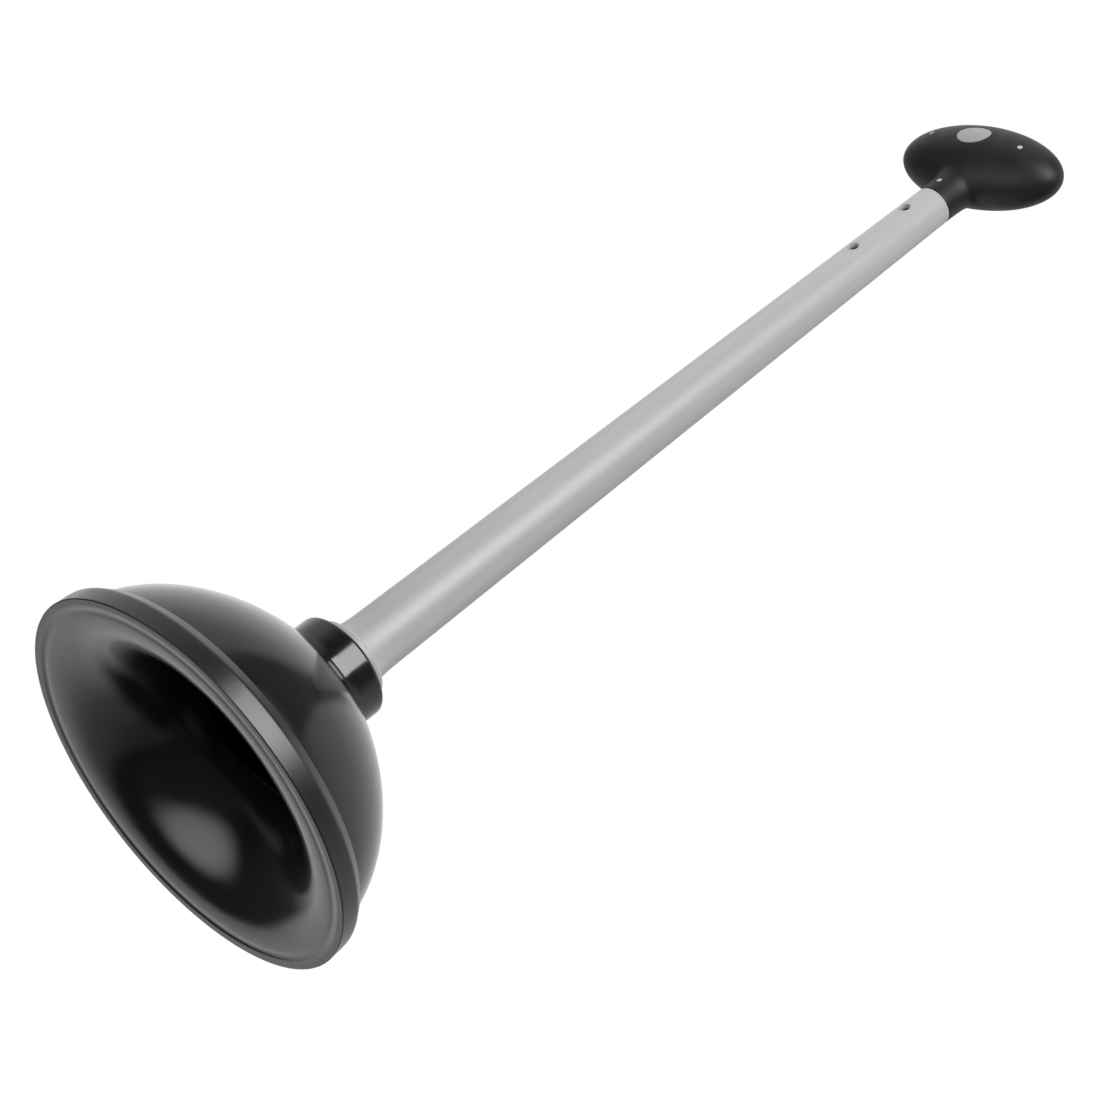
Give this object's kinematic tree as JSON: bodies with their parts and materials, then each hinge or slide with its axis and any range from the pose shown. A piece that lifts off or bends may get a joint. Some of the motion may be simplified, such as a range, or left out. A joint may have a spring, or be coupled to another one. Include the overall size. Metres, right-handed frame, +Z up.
{
  "type": "sink plunger",
  "caption": "Rubber force cup with its skirt folded in, on a hollow tapered handle with a soft oval cross knob; the cup squashes as the handle is pushed down.",
  "frame": {"origin": "centre of the cup's mouth, in the plane that the rim rests on", "axes": "+Z up along the handle, +X along the knob's long axis, the badge and the two small handle holes face -Y"},
  "size_m": [0.152, 0.152, 0.4489],
  "materials": {
    "cup_rubber": "moulded black rubber, semi-gloss",
    "handle_plastic": "silver-grey moulded plastic, satin",
    "core_plastic": "silver-grey moulded plastic, satin",
    "grip_tpe": "soft-touch overmoulded elastomer, matte",
    "badge_plastic": "silver-grey, satin, blank"
  },
  "bodies": {
    "cup": {"rubber_cup": "cup_rubber"},
    "handle": {"handle_tube": "handle_plastic", "grip_core": "core_plastic", "grip_cover": "grip_tpe", "badge": "badge_plastic"}
  },
  "joints": [
    {"name": "plunge", "type": "slide", "parent": "cup", "child": "handle", "axis": [0, 0, 1], "range_m": [-0.02, 0.005], "stiffness_N_per_m": 1500, "deforming": ["rubber_cup"]}
  ]
}
